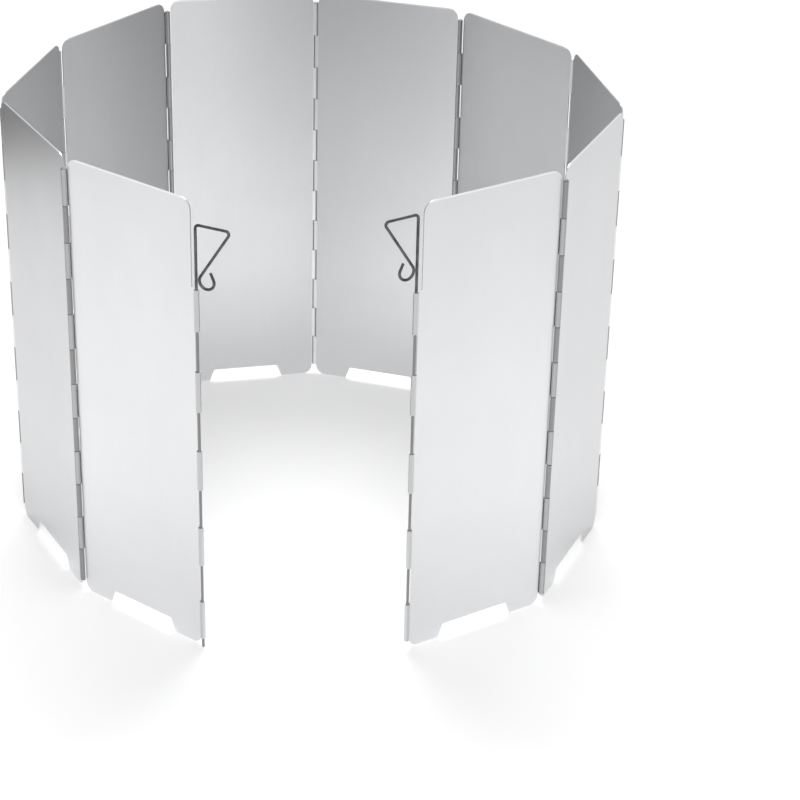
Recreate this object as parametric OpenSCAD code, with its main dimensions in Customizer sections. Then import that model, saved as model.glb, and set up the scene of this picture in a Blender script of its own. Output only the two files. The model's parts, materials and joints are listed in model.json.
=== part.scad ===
/* [Panels] */
// Height of a panel from its feet to its top edge
panel_h = 240; // [180:1:300]
// Distance between the two hinge axes of a middle panel, along its sheet
panel_pitch = 84; // [70:0.5:110]
// Distance from hinge axis to peg axis on the two end panels, along the sheet
end_pitch = 81.5; // [70:0.5:110]
// Thickness of the aluminium sheet
sheet_t = 0.6; // [0.4:0.1:0.8]
// Radius of the two top corners
top_corner_r = 5.5; // [2:0.5:9]
// Radius of the outer corner of each foot
foot_corner_r = 6; // [2:0.5:9]

/* [Air vent] */
// Width of the notch between the feet, at the ground
vent_w = 43.5; // [30:0.5:48]
// Height of the notch
vent_h = 7.5; // [5:0.5:15]
// How far each side of the notch leans in over its height
vent_lean = 2.7; // [0.5:0.1:5]
// Radius of the two upper corners of the notch
vent_corner_r = 1.5; // [0.5:0.1:3]

/* [Hinges] */
// Diameter of the hinge pin wire
pin_d = 1.4; // [1.2:0.1:2]
// Radial clearance of a wire in its rolled knuckles
wire_play = 0.05; // [0.03:0.01:0.1]
// Number of knuckles in a hinge, taken in turn by its two panels
knuckle_count = 12; // [8:2:16]
// Distance from the top edge of the panels down to the hinge
hinge_drop = 5.6; // [3:0.1:9]
// Height of the lower end of the hinge above the ground
hinge_foot = 6; // [3:0.1:9]
// Slit between neighbouring knuckles of a hinge
knuckle_gap = 0.4; // [0.2:0.05:0.8]
// Room between a knuckle and the edge of the neighbouring sheet
knuckle_relief = 0.4; // [0.3:0.05:1.5]
// Angle below level at which the lip of a rolled knuckle ends, beside the sheet it is rolled from
lip_angle = 10; // [0:1:20]
// How far the peened heads of a pin stand out past its wire
pin_head_lip = 0.35; // [0.2:0.05:0.5]
// Height of the peened head
pin_head_h = 0.5; // [0.3:0.1:1]
// End play of a pin under each of its heads
pin_end_play = 0.1; // [0.05:0.05:0.3]

/* [Pegs] */
// Diameter of the peg wire
peg_d = 1.4; // [1.2:0.1:2]
// Height of the left peg's tip above the ground
left_peg_lift = 0.1; // [0:0.1:40]
// Height of the right peg's tip above the ground
right_peg_lift = 6.5; // [0:0.1:40]
// Bevel on the tip of a peg
peg_bevel = 0.3; // [0.2:0.1:0.5]
// Number of peg knuckles on the free edge of an end panel
peg_knuckles = 5; // [3:1:6]
// Distance from the top edge of the panels down to the highest peg knuckle
peg_row_drop = 43.6; // [38:0.1:60]
// Height of the lowest peg knuckle above the ground
peg_foot = 5.6; // [3:0.1:9]
// How far the edge of the sheet between peg knuckles is cut back behind them
peg_relief = 0.55; // [0.3:0.05:1.5]
// How much further the edge of the sheet is cut back beside the handle
handle_relief = 1.8; // [1.5:0.1:6]
// Height of the handle's hook over the highest peg knuckle when the tip of the peg is on the ground
hook_rest = 0.5; // [0.3:0.1:2]

/* [Peg handles] */
// Reach of the top arm, from the peg axis to the far corner of the triangle
arm_reach = 18.5; // [16:0.1:24]
// Bend radius at the top of the peg, on the middle of the wire
top_bend_r = 2; // [1.5:0.1:4]
// Bend radius at the far corner, on the middle of the wire
corner_bend_r = 1.6; // [1.2:0.1:3]
// Depth of the middle of the hook below the top arm
hook_depth = 27.4; // [25:0.1:30]
// Bend radius of the hook, on the middle of the wire
hook_r = 3.8; // [3:0.1:4.2]
// Gap between the hook and the shaft of the peg
hook_gap = 0.3; // [0.2:0.05:1]
// Length of the straight end of the hook
hook_end = 3.6; // [1:0.1:4.5]
// Angle at which the end of the hook leans back towards the brace
hook_lean = 25; // [0:1:30]
// Turn of the left handle out of line with its panel, towards the inside
left_handle_turn = 12; // [-90:1:90]
// Turn of the right handle out of line with its panel, towards the inside
right_handle_turn = 0; // [-90:1:90]

/* [Standing bend of each hinge] */
// Bend of hinge 1, at the front left
bend_1 = 23.5; // [18:0.5:46]
// Bend of hinge 2
bend_2 = 43; // [18:0.5:46]
// Bend of hinge 3
bend_3 = 23.5; // [18:0.5:46]
// Bend of hinge 4
bend_4 = 41.5; // [18:0.5:46]
// Bend of hinge 5, in the middle of the back
bend_5 = 28; // [18:0.5:46]
// Bend of hinge 6
bend_6 = 31; // [18:0.5:46]
// Bend of hinge 7
bend_7 = 29.5; // [18:0.5:46]
// Bend of hinge 8
bend_8 = 37.5; // [18:0.5:46]
// Bend of hinge 9, at the front right
bend_9 = 33.5; // [18:0.5:46]

/* [Hidden] */
$fn = 48;
bends = [bend_1, bend_2, bend_3, bend_4, bend_5, bend_6, bend_7, bend_8, bend_9];
hinge_count = len(bends);
panel_count = hinge_count + 1;

sheet_color = [0.78, 0.79, 0.80];
wire_color = [0.42, 0.42, 0.43];

// How far a strip of sheet reaches into the panel behind its knuckle
strip_lap = 1;
// Points on a quarter of a rounded corner
corner_points = 8;
// A straight run of handle wire ends this far inside the bends that it joins
run_lap = 0.2;
// A straight run of handle wire is this much smaller in radius, so that its ends stay inside the bends
run_relief = 0.02;

peg_r = peg_d / 2;
knuckle_l = (panel_h - hinge_drop - hinge_foot) / knuckle_count;
// The row of peg knuckles has gaps as long as the knuckles.
peg_row_top = panel_h - peg_row_drop;
peg_knuckle_l = (peg_row_top - peg_foot) / (2 * peg_knuckles - 1);
// A peg measures this much from its tip to the middle of its top arm.
peg_length = peg_row_top + hook_rest + peg_r + hook_r + hook_depth;

// Edge k of the chain is hinge k, and the first and last edges carry the pegs.
// Even hinges are rolled towards the inside (-y of the panel), odd ones and the pegs towards the outside.
function holds_peg(k) = k == 0 || k == panel_count;
function wire_d(k) = holds_peg(k) ? peg_d : pin_d;
function roll_side(k) = k % 2 == 1 || holds_peg(k) ? 1 : -1;
function bore_r(k) = wire_d(k) / 2 + wire_play;
function axis_offset(k) = roll_side(k) * (bore_r(k) + sheet_t / 2);
function pitch(k) = k == 1 || k == panel_count ? end_pitch : panel_pitch;
function relief(k) = holds_peg(k) ? peg_relief : knuckle_relief;
function setback(k) = bore_r(k) + sheet_t + relief(k);

// Plan of the standing chain: each panel turns clockwise from the one before it.
function turned(v, angle) = [v.x * cos(angle) - v.y * sin(angle), v.x * sin(angle) + v.y * cos(angle)];
function chain_turn(k) = k == 1 ? 0 : chain_turn(k - 1) - bends[k - 2];
function chain_step(k) = turned([pitch(k), axis_offset(k) - axis_offset(k - 1)], chain_turn(k));
function chain_axis(k) = k == 0 ? [0, 0] : chain_axis(k - 1) + chain_step(k);

// The open mouth lies square to -Y, and the origin is under the middle of the whole outline.
mouth = chain_axis(panel_count);
mouth_turn = atan2(mouth.y, mouth.x);
function heading(k) = chain_turn(k) - mouth_turn;
left_handle_heading = heading(1) + 180 + left_handle_turn;
right_handle_heading = heading(panel_count) - right_handle_turn;
chain_plan = [for (k = [0:panel_count]) turned(chain_axis(k), -mouth_turn)];
outline_plan = concat(chain_plan, [
    chain_plan[0] + turned([arm_reach, 0], left_handle_heading),
    chain_plan[panel_count] + turned([arm_reach, 0], right_handle_heading)
]);
outline_x = [for (p = outline_plan) p.x];
outline_y = [for (p = outline_plan) p.y];
middle = [(min(outline_x) + max(outline_x)) / 2, (min(outline_y) + max(outline_y)) / 2];
function edge_axis(k) = chain_plan[k] - middle;

// Peg handle, in its own plane with the peg axis up from the origin and the top arm at height 0.
hook_middle = [peg_d + hook_gap + hook_r, -hook_depth];
corner_to_hook = hook_middle - [arm_reach, 0];
brace_turn = asin(hook_r / norm(corner_to_hook)) - atan2(corner_to_hook.y, corner_to_hook.x);
corner_trim = corner_bend_r * tan(brace_turn / 2);
brace_length = sqrt(pow(norm(corner_to_hook), 2) - pow(hook_r, 2)) - corner_trim;

function arc(centre, r, from, to) = [
    for (i = [0:corner_points])
        let (angle = from + (to - from) * i / corner_points)
        centre + r * [cos(angle), sin(angle)]
];

// Half of the vent notch, from the ground up to the middle of its top, for a notch whose middle is at x.
function vent_half(x, side) =
    let (lean = atan2(vent_h, vent_lean),
         trim = vent_corner_r * tan(lean / 2),
         corner = [x + side * (vent_w / 2 - vent_lean), vent_h])
    concat([[x + side * vent_w / 2, 0]],
           arc(corner - [side * trim, vent_corner_r], vent_corner_r, 90 - side * lean, 90));

// Outline of a side of panel: a plain edge, or one cut back at the top to leave room for a peg handle.
function top_left(x, cut) = cut > 0
    ? concat(arc([x + cut + top_corner_r, panel_h - top_corner_r], top_corner_r, 90, 180),
             [[x + cut, peg_row_top], [x, peg_row_top]])
    : arc([x + top_corner_r, panel_h - top_corner_r], top_corner_r, 90, 180);
function top_right(x, cut) = cut > 0
    ? concat([[x, peg_row_top], [x - cut, peg_row_top]],
             arc([x - cut - top_corner_r, panel_h - top_corner_r], top_corner_r, 0, 90))
    : arc([x - top_corner_r, panel_h - top_corner_r], top_corner_r, 0, 90);
function reversed(list) = [for (i = [len(list) - 1:-1:0]) list[i]];
function panel_outline(k) =
    let (left = setback(k - 1),
         right = pitch(k) - setback(k),
         vent_x = pitch(k) / 2)
    concat(arc([left + foot_corner_r, foot_corner_r], foot_corner_r, 180, 270),
           vent_half(vent_x, -1),
           reversed(vent_half(vent_x, 1)),
           arc([right - foot_corner_r, foot_corner_r], foot_corner_r, 270, 360),
           top_right(right, k == panel_count ? handle_relief : 0),
           top_left(left, k == 1 ? handle_relief : 0));

// Rolled knuckle round the origin, curled from a strip of sheet that lies below it and runs to +x.
module roll_profile(bore, strip) {
    outer = bore + sheet_t;
    difference() {
        circle(outer);
        circle(bore);
        polygon([[0, 0], 2 * outer * [cos(lip_angle), -sin(lip_angle)], [2 * outer, -2 * outer], [0, -2 * outer]]);
    }
    translate([0, -outer]) square([strip, sheet_t]);
}

// One knuckle of edge k on the panel to its left (side -1) or to its right (side 1), from z0 upwards.
module knuckle(k, side, z0, length) {
    translate([0, axis_offset(k), z0])
        mirror([side < 0 ? 1 : 0, 0, 0])
            mirror([0, roll_side(k) < 0 ? 1 : 0, 0])
                linear_extrude(height = length)
                    roll_profile(bore_r(k), setback(k) + strip_lap);
}

// Knuckles along an edge: every second place of a hinge, or the row that holds a peg.
module knuckle_row(k, side) {
    if (holds_peg(k))
        for (i = [0:peg_knuckles - 1])
            knuckle(k, side, peg_foot + 2 * i * peg_knuckle_l, peg_knuckle_l);
    else
        for (i = [side < 0 ? 1 : 2:2:knuckle_count])
            knuckle(k, side, panel_h - hinge_drop - i * knuckle_l + knuckle_gap / 2, knuckle_l - knuckle_gap);
}

module panel(k) {
    start = edge_axis(k - 1);
    color(sheet_color)
        translate([start.x, start.y, 0])
            rotate([0, 0, heading(k)])
                translate([0, -axis_offset(k - 1), 0]) {
                    translate([0, sheet_t / 2, 0])
                        rotate([90, 0, 0])
                            linear_extrude(height = sheet_t)
                                polygon(panel_outline(k));
                    knuckle_row(k - 1, 1);
                    translate([pitch(k), 0, 0]) knuckle_row(k, -1);
                }
}

// Wire pin with a peened head under the lowest knuckle and one over the highest.
module hinge_pin(k) {
    r = pin_d / 2;
    head_r = r + pin_head_lip;
    low = hinge_foot + knuckle_gap / 2 - pin_end_play;
    high = panel_h - hinge_drop - knuckle_gap / 2 + pin_end_play;
    place = edge_axis(k);
    color(wire_color)
        translate([place.x, place.y, 0])
            rotate_extrude()
                polygon([[0, low - pin_head_h], [r, low - pin_head_h], [head_r, low - pin_head_h / 2], [head_r, low],
                         [r, low], [r, high], [head_r, high], [head_r, high + pin_head_h / 2],
                         [r, high + pin_head_h], [0, high + pin_head_h]]);
}

// Straight wire of a peg, from its bevelled tip up to the bend of its handle.
module peg_shaft(k, lift) {
    place = edge_axis(k);
    length = peg_length - top_bend_r;
    color(wire_color)
        translate([place.x, place.y, lift])
            rotate_extrude()
                polygon([[0, 0], [peg_r - peg_bevel, 0], [peg_r, peg_bevel], [peg_r, length], [0, length]]);
}

// Bend of wire round a point, anticlockwise from one angle through a turn.
module wire_bend(centre, r, from, turn) {
    translate(centre)
        rotate([0, 0, from])
            rotate_extrude(angle = turn)
                translate([r, 0]) circle(peg_r);
}

// Straight run of wire between two bends, or from a bend to a free end.
module wire_run(start, direction, length, free_end = false) {
    translate(start)
        rotate([0, 0, direction])
            translate([-run_lap, 0, 0])
                rotate([0, 90, 0])
                    cylinder(r = peg_r - run_relief, h = length + (free_end ? 1 : 2) * run_lap);
}

// Triangle handle bent from the top of a peg, with a small hook where its brace comes back to the shaft.
module peg_handle(k, lift, direction) {
    place = edge_axis(k);
    corner_middle = [arm_reach - corner_trim, -corner_bend_r];
    brace_start = corner_middle + corner_bend_r * [cos(90 - brace_turn), sin(90 - brace_turn)];
    end_start = hook_middle + hook_r * [cos(hook_lean), sin(hook_lean)];
    color(wire_color)
        translate([place.x, place.y, lift + peg_length])
            rotate([0, 0, direction])
                rotate([90, 0, 0]) {
                    wire_bend([top_bend_r, -top_bend_r], top_bend_r, 90, 90);
                    wire_run([top_bend_r, 0], 0, arm_reach - corner_trim - top_bend_r);
                    wire_bend(corner_middle, corner_bend_r, 90 - brace_turn, brace_turn);
                    wire_run(brace_start, -brace_turn, brace_length);
                    wire_bend(hook_middle, hook_r, 270 - brace_turn, 90 + brace_turn + hook_lean);
                    wire_run(end_start, 90 + hook_lean, hook_end, free_end = true);
                }
}

for (k = [1:panel_count])
    panel(k);
for (k = [1:hinge_count])
    hinge_pin(k);
peg_shaft(0, left_peg_lift);  // peg_shaft_left
peg_handle(0, left_peg_lift, left_handle_heading);  // peg_handle_left
peg_shaft(panel_count, right_peg_lift);  // peg_shaft_right
peg_handle(panel_count, right_peg_lift, right_handle_heading);  // peg_handle_right
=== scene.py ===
import json
import math

import bpy
import numpy as np
from mathutils import Matrix, Vector

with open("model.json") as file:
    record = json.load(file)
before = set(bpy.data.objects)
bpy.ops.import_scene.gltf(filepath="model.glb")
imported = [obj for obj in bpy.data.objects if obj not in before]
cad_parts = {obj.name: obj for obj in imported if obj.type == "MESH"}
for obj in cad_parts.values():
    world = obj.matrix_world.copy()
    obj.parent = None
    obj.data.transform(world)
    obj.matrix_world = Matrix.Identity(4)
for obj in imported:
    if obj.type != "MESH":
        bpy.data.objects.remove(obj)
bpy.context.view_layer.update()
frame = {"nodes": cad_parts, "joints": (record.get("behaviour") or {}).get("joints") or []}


# Panels.
# Ten blanks of half-hard aluminium sheet, anodised to a satin, with the upright grain of the rolling mill.
# Their edge strips are rolled into knuckles on a mandrel, which burnishes them.
# The rolls carry painted shade, grey on the round side and darker past the axis, and a painted highlight on
# the flat back. Edges cut by the shear stay bright as bare metal, with a painted highlight along the top
# edge.

class Shade:
    """A value in a node tree: arithmetic on it adds Math nodes, and node() adds any other node."""

    def __init__(self, tree, socket=None):
        self.tree, self.socket = tree, socket

    def node(self, kind, settings=None, out=0, **sockets):
        """Adds a node, sets it up, gives its input sockets values or links, and returns one output.
        In a socket's name _ stands for a space, and i with a number is the socket at that place."""
        made = self.tree.nodes.new("ShaderNode" + kind)
        for name, value in (settings or {}).items():
            setattr(made, name, value)
        for name, value in sockets.items():
            socket = made.inputs[int(name[1:]) if name[1:].isdigit() else name.replace("_", " ")]
            if isinstance(value, Shade):
                self.tree.links.new(value.socket, socket)
            else:
                socket.default_value = value
        return Shade(self.tree, made.outputs[out] if made.outputs else None)

    def output(self, name):
        """Another output of the node that this value comes from."""
        return Shade(self.tree, self.socket.node.outputs[name])

    def math(self, operation, a, b):
        """Adds one Math node."""
        return self.node("Math", {"operation": operation}, i0=a, i1=b)

    def __add__(self, other): return self.math("ADD", self, other)
    def __radd__(self, other): return self.math("ADD", other, self)
    def __sub__(self, other): return self.math("SUBTRACT", self, other)
    def __rsub__(self, other): return self.math("SUBTRACT", other, self)
    def __mul__(self, other): return self.math("MULTIPLY", self, other)
    def __rmul__(self, other): return self.math("MULTIPLY", other, self)

    def step(self, low, high):
        """0 below low, 1 above high, and a smooth rise between."""
        return self.node("MapRange", {"interpolation_type": "SMOOTHSTEP"},
                         Value=self, From_Min=low, From_Max=high)

    def between(self, first, second):
        """The colour that lies this share of the way from the first colour to the second.
        A Mix node takes its two colours at sockets 6 and 7, and gives the mixed one out at 2."""
        return self.node("Mix", {"data_type": "RGBA"}, 2, i0=self, i6=first, i7=second)


def finish_of(name, metallic):
    """A new material, and its one shader, which is metal to the given share."""
    material = bpy.data.materials.new(name)
    material.use_nodes = True
    shader = material.node_tree.nodes["Principled BSDF"]
    shader.inputs["Metallic"].default_value = metallic
    return material, shader


def wear(shader, **sockets):
    """Links worked-out values to the sockets of a shader; _ in a name stands for a space."""
    for name, value in sockets.items():
        shader.id_data.links.new(value.socket, shader.inputs[name.replace("_", " ")])


panel_count = 10
panel_height = 0.24
joint = {row["name"]: row for row in frame["joints"]}
edge_axis = [joint["left_handle_swivel"]["pos_m"]]
edge_axis += [joint["fold" if k == 5 else f"hinge_{k}"]["pos_m"] for k in range(1, panel_count)]
edge_axis += [joint["right_handle_swivel"]["pos_m"]]

sheet_pale = (0.820, 0.824, 0.832, 1)
sheet_grey = (0.730, 0.734, 0.742, 1)
# Painted shade on the round side of a knuckle roll.
roll_painted_shade = (0.48, 0.483, 0.488, 1)
# Darker painted shade on the part of a roll that curls past its axis.
curl_painted_shade = (0.31, 0.312, 0.316, 1)
# Painted highlight on a roll's flat back, near its axis.
flat_back_painted_highlight = (0.97, 0.97, 0.97, 1)
# Bare metal where the shear cut, and a painted highlight along the top edge.
sheared_edge_and_highlight = (0.95, 0.95, 0.95, 1)
# The grey of the rolls is painted shade; rolls that hold a peg take only this share of it.
peg_roll_shade_share = 0.65  # rolls that hold a peg are paler, and take this much of the grey

# Where each tone fades into the next, in metres: a roll's painted shade into the flat sheet, counted
# from its axis; the painted highlight on a roll's flat back into the painted shade of its round side,
# counted through the sheet; the darker painted shade on the part of a roll that has curled past its axis;
# and a cut edge's bare metal and painted highlight into the face.
roll_fade = (0.0014, 0.0021)
back_fade = (-0.0007, -0.0004)
curl_fade = (-0.0006, 0.0005)
sheared_fade = (0.0004, 0.0009)

grain_scale = (5200, 5200, 30)
grain_shift = 3.1
cloud_scale = 22.0
grain_depth = 0.00004
grey_share, grey_spread = 0.35, 0.5
satin_roughness, grain_roughness, cloud_roughness, burnish_drop = 0.32, 0.10, 0.08, 0.05

for k in range(1, panel_count + 1):
    (x0, y0, _), (x1, y1, _) = edge_axis[k - 1], edge_axis[k]
    width, turn = math.hypot(x1 - x0, y1 - y0), math.atan2(y1 - y0, x1 - x0)
    satin, shader = finish_of(f"satin_sheet_{k}", 1.0)
    tree = Shade(satin.node_tree)
    place = tree.node("TexCoord", out="Object")
    on_panel = tree.node("Mapping", {"vector_type": "TEXTURE"}, Vector=place,
                         Location=(x0, y0, 0), Rotation=(0, 0, turn))
    fine = tree.node("Mapping", Vector=on_panel, Location=(k * grain_shift, 0, 0), Scale=grain_scale)
    grain = tree.node("TexNoise", Vector=fine, Scale=1.0, Detail=2.0)
    cloud = tree.node("TexNoise", Vector=on_panel, Scale=cloud_scale, Detail=3.0, Roughness=0.6)
    across = tree.node("SeparateXYZ", Vector=on_panel)
    depth, height = across.output("Y"), across.output("Z")
    roll, curl, heel = 0.0, 0.0, 0.0
    for edge, from_edge in ((k - 1, across), (k, width - across)):
        free = edge in (0, panel_count)
        outward = 1 if free or edge % 2 else -1
        near = 1 - from_edge.step(*roll_fade)
        rounded = (depth * outward).step(*back_fade)
        roll = roll + near * rounded * (peg_roll_shade_share if free else 1)
        heel = heel + near * (1 - rounded)
        if not free:
            curl = curl + (1 - from_edge.step(*curl_fade))
    # A band along the top and bottom edges: bare metal of the shear, and a painted highlight along the top
    # edge.
    cut = (1 - (panel_height - height).step(*sheared_fade)) + (1 - height.step(*sheared_fade))
    tone = (grain - 0.5 + cloud - 0.5) * grey_spread + grey_share
    flat = tone.between(sheet_pale, sheet_grey)
    # The rolls' painted shade and painted highlight are laid over the sheet's own tone.
    bent = curl.between(roll.between(heel.between(flat, flat_back_painted_highlight), roll_painted_shade), curl_painted_shade)
    wear(shader, Base_Color=cut.between(bent, sheared_edge_and_highlight),
         Roughness=(satin_roughness + (grain - 0.5) * grain_roughness
                    + (cloud - 0.5) * cloud_roughness - (roll + heel) * burnish_drop),
         Normal=tree.node("Bump", Strength=0.10, Distance=grain_depth, Height=grain))
    panel = frame["nodes"][f"panel_{k}"]
    panel.data.materials.clear()
    panel.data.materials.append(satin)


# Hinge pins.
# One length of drawn steel wire through the knuckles of each pair of panels, cut a little long.
# Both ends are peened over into a small head, so the wire can't creep out.

die_line_scale = (4000, 4000, 60)
die_line_depth = 0.00003
die_line_roughness = 0.10
oxide_scale = 160.0
oxide_fade = (0.35, 0.7)
oxide_roughness = 0.25
rub_waver = 0.004
rub_fade = 0.001


def drawn_wire(name, bright, dull, roughness, rubbed=None, rubbed_below=0.0):
    """Drawn steel: die lines along the wire under a thin uneven oxide.
    Where the wire slides, below a height, the oxide is rubbed off along a wavering line."""
    steel, shader = finish_of(name, 1.0)
    tree = Shade(steel.node_tree)
    place = tree.node("TexCoord", out="Object")
    drawn = tree.node("Mapping", Vector=place, Scale=die_line_scale)
    lines = tree.node("TexNoise", Vector=drawn, Scale=1.0, Detail=2.0)
    oxide = tree.node("TexNoise", Vector=place, Scale=oxide_scale, Detail=4.0, Roughness=0.65)
    colour = oxide.step(*oxide_fade).between(bright, dull)
    if rubbed:
        height = tree.node("SeparateXYZ", out="Z", Vector=place) + (oxide - 0.5) * rub_waver
        colour = height.step(rubbed_below - rub_fade, rubbed_below + rub_fade).between(rubbed, colour)
    wear(shader, Base_Color=colour,
         Roughness=(roughness + (oxide - 0.5) * oxide_roughness
                    + (lines - 0.5) * die_line_roughness),
         Normal=tree.node("Bump", Strength=0.15, Distance=die_line_depth, Height=lines))
    return steel


pin_steel = drawn_wire("hinge_pin_steel", bright=(0.55, 0.55, 0.555, 1), dull=(0.40, 0.40, 0.405, 1),
                       roughness=0.34)
for k in range(1, panel_count):
    pin = frame["nodes"][f"hinge_pin_{k}"]
    pin.data.materials.clear()
    pin.data.materials.append(pin_steel)


# Pegs.
# Steel wire, dark from hardening, that slides in the knuckles of the free edges and goes into the ground.
# The knuckles rub it bright. Its top is bent round a jig into a triangle to pull, ending in a hook.

top_knuckle_height = 0.197
peg_steel = drawn_wire("peg_steel", bright=(0.15, 0.15, 0.153, 1), dull=(0.07, 0.07, 0.072, 1),
                       roughness=0.34, rubbed=(0.27, 0.27, 0.274, 1), rubbed_below=top_knuckle_height)
for piece in ("peg_shaft_left", "peg_handle_left", "peg_shaft_right", "peg_handle_right"):
    wire = frame["nodes"][piece]
    wire.data.materials.clear()
    wire.data.materials.append(peg_steel)


# Floor under the screen.
# A wide matt white floor, lit by the lamps and the room, so it keeps the shadow, and topped up to white for
# the eye. The metal mirrors the top-up too, but not beside the ring or far in front of it.

reach = 20
top_up_strength = 0.22
# The metal loses the top-up past the sides of the ring, behind a line that slants back, and in front.
ring_side = (0.125, 0.155)
side_slant = 0.4
side_fade = (-0.17, -0.09)
front_fade = (0.17, 0.38)

mesh = bpy.data.meshes.new("pale_floor")
mesh.from_pydata([(-reach, -reach, 0), (reach, -reach, 0), (reach, reach, 0), (-reach, reach, 0)], [],
                 [(0, 1, 2, 3)])
floor = bpy.data.objects.new("pale_floor", mesh)
bpy.context.scene.collection.objects.link(floor)
white = bpy.data.materials.new("pale_floor")
white.use_nodes = True
white.node_tree.nodes.clear()
tree = Shade(white.node_tree)
seen = tree.node("LightPath", out="Is Camera Ray")
mirrored = seen.output("Is Glossy Ray") + seen.output("Is Transmission Ray")
sideways = tree.node("SeparateXYZ", Vector=tree.node("TexCoord", out="Object"))
back = sideways.output("Y")
from_middle = tree.node("Math", {"operation": "ABSOLUTE"}, i0=sideways)
beside = from_middle.step(*ring_side) * (back - from_middle * side_slant).step(*side_fade)
far_in_front = (back * -1).step(*front_fade)
lit = tree.node("BsdfDiffuse", Color=(0.90, 0.90, 0.90, 1))
top_up = tree.node("Emission", Color=(1, 1, 1, 1), Strength=top_up_strength)
topped = tree.node("AddShader", i0=lit, i1=top_up)
share = seen + mirrored * (1 - beside) * (1 - far_in_front)
tree.node("OutputMaterial", Surface=tree.node("MixShader", i0=share, i1=lit, i2=topped))
floor.data.materials.append(white)


# Studio light.
# Two soft boxes in an even pale room: one in front for the outer faces, one overhead for the ring's inside.
# A dark card at the left, which only the metal sees, shades the top of the second panel.

world = bpy.data.worlds.new("studio")
bpy.context.scene.world = world
world.use_nodes = True
world.node_tree.nodes.clear()
tree = Shade(world.node_tree)
room = tree.node("Background", Color=(0.50, 0.50, 0.503, 1), Strength=1.0)
tree.node("OutputWorld", Surface=room)

lamps_aim = Vector((0, 0, 0.1))
for name, place, size, power in (("front_softbox", (0.0, -1.6, 1.05), (1.4, 0.6), 15.0),
                                 ("top_softbox", (0.0, 0.6, 1.3), (0.9, 0.6), 8.8)):
    lamp_data = bpy.data.lights.new(name, "AREA")
    lamp_data.shape, lamp_data.size, lamp_data.size_y, lamp_data.energy = "RECTANGLE", *size, power
    lamp = bpy.data.objects.new(name, lamp_data)
    lamp.location = place
    lamp.rotation_euler = (Vector(place) - lamps_aim).to_track_quat("Z", "Y").to_euler()
    lamp.visible_camera = False
    bpy.context.scene.collection.objects.link(lamp)

card_back, card_front, card_height = (-0.29, 0.62), (-0.80, -0.04), 0.4
mesh = bpy.data.meshes.new("dark_card")
mesh.from_pydata([(*card_back, 0), (*card_front, 0), (*card_front, card_height), (*card_back, card_height)],
                 [], [(0, 1, 2, 3)])
card = bpy.data.objects.new("dark_card", mesh)
bpy.context.scene.collection.objects.link(card)
dark, shader = finish_of("dark_card", 0.0)
shader.inputs["Base Color"].default_value = (0.12, 0.12, 0.12, 1)
card.data.materials.append(dark)
card.visible_camera = card.visible_diffuse = card.visible_shadow = False


# Camera.
# A long lens where the photograph was taken from: in front of the mouth, looking down into the ring.

camera_data = bpy.data.cameras.new("camera")
camera = bpy.data.objects.new("camera", camera_data)
bpy.context.scene.collection.objects.link(camera)
bpy.context.scene.camera = camera
picture_px = 800
focal_px = 2293.06
middle_px = (320, 330)
film_mm = 36
lens_place = (0.018465, -1.077075, 0.655897)
tilt, yaw, lean = (math.radians(angle) for angle in (27.086, -0.718, 0.427))
right = np.array([math.cos(yaw), -math.sin(yaw), 0])
ahead = np.array([math.sin(yaw) * math.cos(tilt), math.cos(yaw) * math.cos(tilt), -math.sin(tilt)])
up = np.cross(right, ahead)
rightward = math.cos(lean) * right + math.sin(lean) * up
upward = math.cos(lean) * up - math.sin(lean) * right
turned = Matrix(np.column_stack([rightward, upward, -ahead]).tolist()).to_4x4()
camera.matrix_world = Matrix.Translation(lens_place) @ turned
camera_data.sensor_width = film_mm
camera_data.lens = focal_px / picture_px * film_mm
camera_data.shift_x = 0.5 - middle_px[0] / picture_px
camera_data.shift_y = middle_px[1] / picture_px - 0.5

bpy.context.scene.view_settings.view_transform = "Standard"
